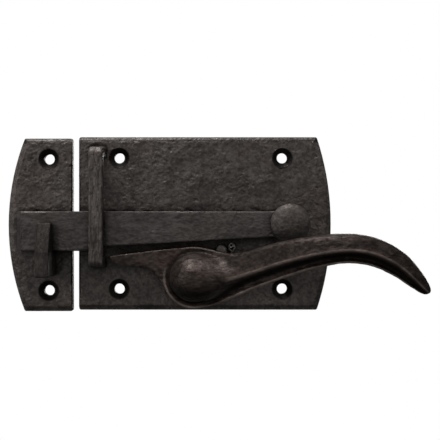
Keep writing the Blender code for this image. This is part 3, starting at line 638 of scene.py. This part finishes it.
def spring_piece():
    """The wire as one smooth tube: eye, fixed leg, coil and moving leg."""
    across = Vector((ANCHOR[0] - LEVER_PIVOT[0], ANCHOR[1] - LEVER_PIVOT[1]))
    start = math.degrees(math.atan2(across.y, across.x)) - math.degrees(math.acos((COIL_R - EYE_R) / across.length))
    route = []
    for k in range(39, 0, -1):
        angle = math.radians(start + 8 * k)
        route.append((ANCHOR[0] + EYE_R * math.cos(angle), COIL_BACK, ANCHOR[1] + EYE_R * EYE_STRETCH * math.sin(angle)))
    steps = round(COIL_TURNS * 40)
    for k in range(steps + 1):
        angle = math.radians(start - 360 * COIL_TURNS * k / steps)
        forward = COIL_BACK + (COIL_FRONT - COIL_BACK) * k / steps
        route.append((LEVER_PIVOT[0] + COIL_R * math.cos(angle), forward, LEVER_PIVOT[1] + COIL_R * math.sin(angle)))
    end = math.radians(start - 360 * COIL_TURNS)
    for radius in (COIL_R + 1.2, MOVING_LEG_R - 0.6, MOVING_LEG_R):
        route.append((LEVER_PIVOT[0] + radius * math.cos(end), COIL_FRONT, LEVER_PIVOT[1] + radius * math.sin(end)))
    curve = bpy.data.curves.new("spring_route", "CURVE")
    curve.dimensions = "3D"
    curve.bevel_depth = WIRE_R * MM
    curve.bevel_resolution = 3
    curve.use_fill_caps = True
    line = curve.splines.new("POLY")
    line.points.add(len(route) - 1)
    for point, (x, forward, z) in zip(line.points, route):
        point.co = (x * MM, -forward * MM, z * MM, 1)
    guide = new_object("spring_route", curve)
    bpy.context.view_layer.update()
    mesh = bpy.data.meshes.new_from_object(guide.evaluated_get(bpy.context.evaluated_depsgraph_get()))
    bpy.data.objects.remove(guide)
    bm = bmesh.new()
    bm.from_mesh(mesh)
    bmesh.ops.remove_doubles(bm, verts=bm.verts, dist=0.005 * MM)
    bmesh.ops.recalc_face_normals(bm, faces=bm.faces)
    return from_bmesh("spring_coil", bm)


# ---- Materials -----------------------------------------------------------------------------------
def add_node(tree, kind, sources=None, **settings):
    """A shader node with its settings, and its inputs either linked or set."""
    made = tree.nodes.new(kind)
    for key, value in settings.items():
        setattr(made, key, value)
    for key, value in (sources or {}).items():
        if isinstance(value, bpy.types.NodeSocket):
            tree.links.new(value, made.inputs[key])
        else:
            made.inputs[key].default_value = value
    return made


def mixed(tree, share, one, two):
    made = add_node(tree, "ShaderNodeMix", data_type="RGBA")
    for socket, value in zip((made.inputs[0], made.inputs[6], made.inputs[7]), (share, one, two)):
        if isinstance(value, bpy.types.NodeSocket):
            tree.links.new(value, socket)
        else:
            socket.default_value = value
    return made.outputs[2]


def ranged(tree, value, low, high, to_low=0.0, to_high=1.0):
    sources = {"Value": value, "From Min": low, "From Max": high, "To Min": to_low, "To Max": to_high}
    return add_node(tree, "ShaderNodeMapRange", sources, interpolation_type="SMOOTHSTEP").outputs[0]


def maths(tree, operation, one, two):
    made = add_node(tree, "ShaderNodeMath", operation=operation)
    for socket, value in zip(made.inputs, (one, two)):
        if isinstance(value, bpy.types.NodeSocket):
            tree.links.new(value, socket)
        else:
            socket.default_value = value
    return made.outputs[0]


def bronze(name, dark, light, warm, wear_sheen_colour, gloss, stretch=(1, 1, 1), grain=1.0, wear=1.0, shine=0.5, tint=(1, 0.93, 0.9), mottle=0.25, shade=0.95):
    """Oil-rubbed bronze: mottled dark patina, warm patches, pitted grain, and edges rubbed bare. Painted shade comes
    from the shade attribute and from ambient occlusion; the attribute below zero gives painted highlights.
    """
    material = bpy.data.materials.new(name)
    material.use_nodes = True
    tree = material.node_tree
    shader = tree.nodes["Principled BSDF"]
    place = add_node(tree, "ShaderNodeTexCoord").outputs["Object"]
    drawn = add_node(tree, "ShaderNodeMapping", {"Vector": place, "Scale": stretch}).outputs[0]
    clouds = add_node(tree, "ShaderNodeTexNoise", {"Vector": drawn, "Scale": 85.0, "Detail": 6.0, "Roughness": 0.62})
    patches = add_node(tree, "ShaderNodeTexNoise", {"Vector": place, "Scale": 34.0, "Detail": 3.0})
    fine = add_node(tree, "ShaderNodeTexNoise", {"Vector": drawn, "Scale": 420.0, "Detail": 5.0, "Roughness": 0.6})
    sand = add_node(tree, "ShaderNodeTexNoise", {"Vector": place, "Scale": 2100.0, "Detail": 2.0})
    cells = add_node(tree, "ShaderNodeTexVoronoi", {"Vector": place, "Scale": 620.0, "Randomness": 1.0})
    convex = add_node(tree, "ShaderNodeAttribute", attribute_name="convex").outputs["Fac"]
    pebbles = add_node(tree, "ShaderNodeTexNoise", {"Vector": drawn, "Scale": 950.0, "Detail": 3.0})
    painted_shade = add_node(tree, "ShaderNodeAttribute", attribute_name="painted_shade").outputs["Fac"]
    # Painted shade: ambient occlusion darkens points close to other surfaces, as contact shadows under and between
    # parts; shade sets how dark.
    ao_shade = add_node(tree, "ShaderNodeAmbientOcclusion", {"Distance": 0.0055}, samples=8).outputs["AO"]
    # Painted highlight: the shade attribute below zero becomes a highlight in the rubbed-bronze colour.
    painted_sheen = maths(tree, "MULTIPLY", painted_shade, -1.0)
    painted_shade = maths(tree, "MAXIMUM", painted_shade, ranged(tree, ao_shade, 0.4, 0.93, shade, 0.0))
    pits = ranged(tree, cells.outputs["Distance"], 0.0, 0.32, 1.0, 0.0)
    pits = maths(tree, "MULTIPLY", pits, ranged(tree, fine.outputs[0], 0.52, 0.66))
    # Edges rubbed bare by curvature are wear; the painted highlights are joined in with them.
    wear_and_sheen = ranged(tree, convex, 0.25, 1.5, 0.0, wear)
    wear_and_sheen = maths(tree, "MAXIMUM", wear_and_sheen, painted_sheen)
    wear_and_sheen = maths(tree, "MULTIPLY", wear_and_sheen, ranged(tree, fine.outputs[0], 0.3, 0.6, 0.7, 1.0))
    wear_and_sheen = maths(tree, "MULTIPLY", wear_and_sheen, maths(tree, "SUBTRACT", 1.0, maths(tree, "MULTIPLY", painted_shade, 0.8)))
    hollow = ranged(tree, convex, -0.9, -0.12, 0.95, 0.0)
    colour = mixed(tree, ranged(tree, clouds.outputs[0], 0.36, 0.66), (*dark, 1), (*light, 1))
    colour = mixed(tree, ranged(tree, patches.outputs[0], 0.5, 0.68, 0.0, 0.75), colour, (*warm, 1))
    speckle = maths(tree, "ADD", fine.outputs[0], maths(tree, "MULTIPLY", pebbles.outputs[0], 0.7))
    speckle = ranged(tree, speckle, 0.68, 1.02, 1.0 - mottle, 1.0 + mottle)
    colour = add_node(tree, "ShaderNodeVectorMath", {0: colour}, operation="SCALE")
    tree.links.new(speckle, colour.inputs["Scale"])
    colour = colour.outputs[0]
    colour = mixed(tree, maths(tree, "MAXIMUM", hollow, pits), colour, tuple(0.35 * c for c in dark) + (1,))
    # Painted shade: colour goes towards near black where the shade attribute and the ambient occlusion say so.
    colour = mixed(tree, maths(tree, "MULTIPLY", painted_shade, 0.85), colour, (0.004, 0.0035, 0.003, 1))
    colour = mixed(tree, wear_and_sheen, colour, (*wear_sheen_colour, 1))
    tree.links.new(colour, shader.inputs["Base Color"])
    rough = ranged(tree, clouds.outputs[0], 0.3, 0.7, gloss[0], gloss[1])
    rough = maths(tree, "ADD", rough, ranged(tree, sand.outputs[0], 0.3, 0.7, -0.05, 0.06))
    rough = maths(tree, "SUBTRACT", rough, maths(tree, "MULTIPLY", wear_and_sheen, 0.1))
    tree.links.new(rough, shader.inputs["Roughness"])
    tree.links.new(maths(tree, "MULTIPLY", wear_and_sheen, 0.55), shader.inputs["Metallic"])
    # Painted shade also lowers the specular level, as the hollows do.
    gleam = maths(tree, "SUBTRACT", 1.0, maths(tree, "MAXIMUM", maths(tree, "MULTIPLY", hollow, 0.7), maths(tree, "MULTIPLY", painted_shade, 0.84)))
    gleam = maths(tree, "MULTIPLY", gleam, maths(tree, "MULTIPLY", speckle, shine))
    tree.links.new(gleam, shader.inputs["Specular IOR Level"])
    shader.inputs["Specular Tint"].default_value = (*tint, 1)
    height = maths(tree, "MULTIPLY", fine.outputs[0], 0.9)
    height = maths(tree, "ADD", height, maths(tree, "MULTIPLY", sand.outputs[0], 0.28))
    height = maths(tree, "ADD", height, maths(tree, "MULTIPLY", pebbles.outputs[0], 0.9))
    height = maths(tree, "SUBTRACT", height, maths(tree, "MULTIPLY", pits, 0.45))
    bump = add_node(tree, "ShaderNodeBump", {"Height": height, "Strength": 1.0, "Distance": 0.00011 * grain})
    tree.links.new(bump.outputs[0], shader.inputs["Normal"])
    return material


def dress(obj, material, slot_name):
    obj.data.materials.clear()
    obj.data.materials.append(material)


# ---- Build ---------------------------------------------------------------------------------------
plate_bronze = bronze(
    "plate_bronze", (0.013, 0.0112, 0.0103), (0.04, 0.0352, 0.0325), (0.03, 0.0232, 0.0195), (0.07, 0.061, 0.054),
    (0.4, 0.54), grain=1.9, shine=0.58,
)
bar_bronze = bronze(
    "bar_bronze", (0.013, 0.0115, 0.0113), (0.034, 0.0298, 0.0294), (0.027, 0.0222, 0.0208), (0.07, 0.062, 0.057),
    (0.4, 0.54), stretch=(0.6, 1, 1.2), grain=1.6, shine=0.58,
)
strap_bronze = bronze(
    "strap_bronze", (0.011, 0.0096, 0.009), (0.04, 0.0352, 0.032), (0.033, 0.0255, 0.0215), (0.09, 0.079, 0.07),
    (0.38, 0.54), stretch=(2.2, 1, 0.35), grain=2.6, shine=0.55, mottle=0.4,
)
# Painted shade: the hook's bronze is a darker copy of the plates' bronze, standing in for less light on it.
shaded_hook_bronze = bronze(
    "shaded_hook_bronze", (0.006, 0.0053, 0.005), (0.014, 0.0122, 0.0112), (0.014, 0.0108, 0.0092), (0.055, 0.048, 0.043),
    (0.5, 0.62), stretch=(1.6, 1, 0.5), grain=1.5, shine=0.3,
)
lever_bronze = bronze(
    "lever_bronze", (0.0085, 0.0063, 0.0053), (0.018, 0.0132, 0.011), (0.025, 0.0135, 0.0105), (0.27, 0.22, 0.193),
    (0.42, 0.56), stretch=(0.5, 1, 1), grain=2.2, wear=0.5, shine=0.36, tint=(1, 0.84, 0.79), mottle=0.38,
)
pin_bronze = bronze(
    "pin_bronze", (0.012, 0.0108, 0.0102), (0.034, 0.0308, 0.029), (0.031, 0.025, 0.0218), (0.07, 0.063, 0.058),
    (0.46, 0.6), grain=1.5, shine=0.5, mottle=0.25,
)
rubbed_pin = bronze(
    "rubbed_pin", (0.08, 0.074, 0.068), (0.16, 0.15, 0.14), (0.1, 0.085, 0.07), (0.3, 0.28, 0.26), (0.3, 0.4), grain=0.4, shade=0.3,
)
spring_steel = bronze(
    "spring_steel", (0.06, 0.056, 0.05), (0.12, 0.112, 0.102), (0.08, 0.062, 0.048), (0.24, 0.23, 0.21), (0.28, 0.4),
    grain=0.3, shade=0.3,
)

not_back = lambda normal: normal.y < 0.9

main_plate = densified("main_plate_face", "main_plate", 0.46, 0.4, wanted=not_back)
dent(main_plate, plate_relief, FORWARD)
# Painted shade along the plates' long edges and in their countersinks.
mark_painted_shade(main_plate, edge_shade(main_plate))
strike_plate = densified("strike_plate_face", "strike_plate", 0.46, 0.4, wanted=not_back)
dent(strike_plate, plate_relief, FORWARD)
mark_painted_shade(strike_plate, edge_shade(strike_plate))
bar = densified("latch_bar_skin", "latch_bar", 0.46, 0.4)
dent(bar, bar_relief, FORWARD)

guide = recast(from_bmesh("bar_guide_casting", cad_bmesh("bar_guide")), 0.3, 4)
dent(guide, streaked)
hook = recast(from_bmesh("strike_hook_casting", cad_bmesh("strike_hook")), 0.28, 9)
dent(hook, hook_relief)
# Painted shade on the hook's upper half.
mark_painted_shade(hook, hook_top_shade)
lever = lever_piece()
# Painted shade and painted highlights on the lever.
mark_painted_shade(lever, lever_shade_and_sheen())

rivet_profile = [(8.6 * math.sin(k / 14 * math.pi / 2), 13.8 + 3.2 * math.cos(k / 14 * math.pi / 2) ** 1.2) for k in range(14)]
rivet_profile += [(8.6, 13.8), (8.62, 13.2), (8.4, 12.5), (8.0, 12.3), (3.0, 12.3), (3.0, 1.8), (4.5, 0.3), (0, 0.3)]
rivet_profile[0] = (0, 17.0)
rivet = turned("pivot_rivet_head", rivet_profile, (36.7, 0.0), segments=72)
recast(rivet, 0.3, 4)
dent(rivet, lever_relief)
spring = spring_piece()

stop_profile = [(0, 9.9), (0.8, 9.84), (1.5, 9.62), (2.0, 9.2), (2.25, 8.7), (2.3, 8.2), (2.3, 5.1), (1.3, 5.1), (1.3, 0.3), (0, 0.3)]
stop = turned("stop_pin_turned", stop_profile, (6.9, -11.7), segments=40)

for obj, material, slot_name, node, body in (
    (main_plate, plate_bronze, "plate_bronze", "main_plate", "base"),
    (strike_plate, plate_bronze, "plate_bronze", "strike_plate", "base"),
    (bar, bar_bronze, "bar_bronze", "latch_bar", "bar"),
    (guide, strap_bronze, "plate_bronze", "bar_guide", "base"),
    (hook, shaded_hook_bronze, "plate_bronze", "strike_hook", "base"),
    (lever, lever_bronze, "lever_bronze", "lever", "thumb_lever"),
    (rivet, pin_bronze, "pin_bronze", "bar_pivot_rivet", "base"),
    (stop, rubbed_pin, "pin_bronze", "stop_pin", "base"),
):
    smooth_shaded(obj)
    crisp_back(obj)
    mark_wear(obj)
    dress(obj, material, slot_name)
    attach(obj, body)
    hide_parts(node)

smooth_shaded(spring)
mark_wear(spring, 0)
dress(spring, spring_steel, "spring_steel")
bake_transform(spring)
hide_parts("return_spring")

for node in ("bar_spacer_washer", "lever_thrust_washer", "lever_retaining_washer", "lever_retaining_screw", "spring_anchor_pin"):
    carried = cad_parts[node]
    for entry in carried.material_slots:
        entry.material = pin_bronze


# ---- Stage, light and camera ---------------------------------------------------------------------
def floor_disc(radius, height):
    bm = bmesh.new()
    bmesh.ops.create_circle(bm, cap_ends=True, segments=96, radius=radius, matrix=Matrix.Translation((0, 0, height)))
    return from_bmesh("floor", bm)


floor = floor_disc(1.2, -0.5)
pale = bpy.data.materials.new("floor_pale")
pale.use_nodes = True
pale_shader = pale.node_tree.nodes["Principled BSDF"]
pale_shader.inputs["Base Color"].default_value = (0.85, 0.85, 0.85, 1)
pale_shader.inputs["Roughness"].default_value = 0.9
pale_shader.inputs["Emission Color"].default_value = (1, 1, 1, 1)
pale_shader.inputs["Emission Strength"].default_value = 0.7
floor.data.materials.append(pale)
floor.visible_glossy = False
floor.visible_diffuse = False

world = bpy.data.worlds.new("studio")
bpy.context.scene.world = world
world.use_nodes = True
tree = world.node_tree
tree.nodes.clear()
heading = add_node(tree, "ShaderNodeTexCoord").outputs["Generated"]
parts = add_node(tree, "ShaderNodeSeparateXYZ", {"Vector": heading})
overhead = ranged(tree, parts.outputs["Z"], 0.6, 1.0, 0.0, 0.2)
behind = maths(tree, "MULTIPLY", ranged(tree, parts.outputs["Y"], 0.0, 0.6, 0.0, 0.3), ranged(tree, parts.outputs["Z"], -0.1, 0.5))
front = ranged(tree, parts.outputs["Y"], -1.0, -0.7, 0.62, 0.12)
level = maths(tree, "ADD", maths(tree, "ADD", overhead, behind), front)
soft = add_node(tree, "ShaderNodeBackground", {"Color": (1, 0.965, 0.945, 1), "Strength": level})
white = add_node(tree, "ShaderNodeBackground", {"Color": (1, 1, 1, 1), "Strength": 1.0})
seen = add_node(tree, "ShaderNodeLightPath").outputs["Is Camera Ray"]
chosen = add_node(tree, "ShaderNodeMixShader", {0: seen, 1: soft.outputs[0], 2: white.outputs[0]})
add_node(tree, "ShaderNodeOutputWorld", {"Surface": chosen.outputs[0]})

for name, place, size, power in (
    ("key", (-0.16, -0.15, 0.60), (0.30, 0.16), 5.2),
    ("left", (-0.60, -0.42, 0.10), (0.2, 0.3), 1.2),
    ("right", (0.50, -0.34, 0.30), (0.16, 0.16), 0.6),
    ("rear", (0.30, 0.70, 0.12), (0.4, 0.3), 3.0),
):
    lamp = bpy.data.lights.new(name, "AREA")
    lamp.shape = "RECTANGLE"
    lamp.size, lamp.size_y = size
    lamp.energy = power
    lamp.color = (1, 0.965, 0.945)
    holder = bpy.data.objects.new(name, lamp)
    holder.location = place
    holder.rotation_euler = (-Vector(place)).to_track_quat("-Z", "Y").to_euler()
    holder.visible_camera = False
    bpy.context.scene.collection.objects.link(holder)

camera = bpy.data.cameras.new("camera")
camera.sensor_width = 36
camera.lens = 78.0
eye = bpy.data.objects.new("camera", camera)
eye.location = (6.28 * MM, -(PLATE_THICK + 420) * MM, 1.54 * MM)
eye.rotation_euler = (math.radians(90), 0, 0)
bpy.context.scene.collection.objects.link(eye)
bpy.context.scene.camera = eye
bpy.context.scene.view_settings.view_transform = "Standard"
